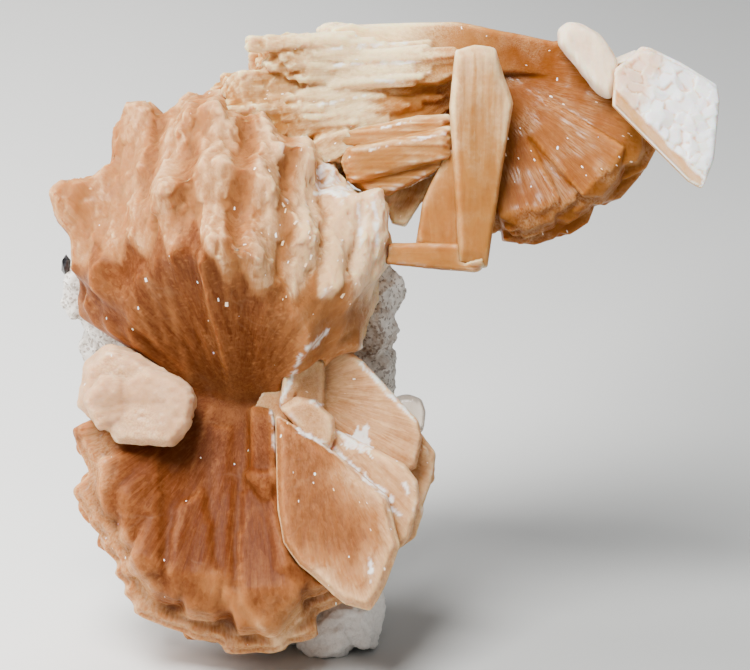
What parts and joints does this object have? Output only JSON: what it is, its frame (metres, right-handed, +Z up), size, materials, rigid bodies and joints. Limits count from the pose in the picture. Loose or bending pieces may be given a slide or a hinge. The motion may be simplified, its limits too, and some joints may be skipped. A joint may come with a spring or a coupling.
{
  "type": "stilbite specimen",
  "caption": "Cabinet-size mineral specimen: peach stilbite bow-tie sheaves on a piece of grey rock, with a second sheaf that reaches out to one side.",
  "frame": {"origin": "centre of the bounding box, on the plane of the flat cut that the specimen rests on", "axes": "+X to the right as seen from the front, along the reaching arm, +Y away from the front, +Z up"},
  "size_m": [0.1112, 0.0679, 0.1039],
  "materials": {
    "matrix_rock": "rough grainy grey-white rock with darker specks",
    "main_sheaf": "translucent peach stilbite, deep orange at the waist and pale at the crystal ends, vitreous with fine striations",
    "right_sheaf": "translucent peach stilbite with pale rims and white cleavage patches",
    "side_crystal": "cloudy pale pink stilbite with a soft vitreous lustre",
    "arm_sheaf": "pale cream to honey stilbite in striated prisms",
    "upright_blade": "honey-coloured translucent stilbite with a dusty surface",
    "hanging_prism": "honey-coloured striated stilbite",
    "cross_blade": "honey-coloured stilbite",
    "cap_crystal": "cream stilbite with a silky lustre",
    "pearly_blade": "white cleavage face with a pearly lustre and a honey-coloured edge",
    "bead_crystal": "clear to milky small crystal"
  },
  "bodies": {
    "root": {"matrix_rock": "matrix_rock", "main_sheaf": "main_sheaf", "right_sheaf": "right_sheaf", "side_crystal": "side_crystal", "arm_sheaf": "arm_sheaf", "upright_blade": "upright_blade", "hanging_prism": "hanging_prism", "cross_blade": "cross_blade", "cap_crystal": "cap_crystal", "pearly_blade": "pearly_blade", "bead_crystal": "bead_crystal"}
  },
  "joints": []
}
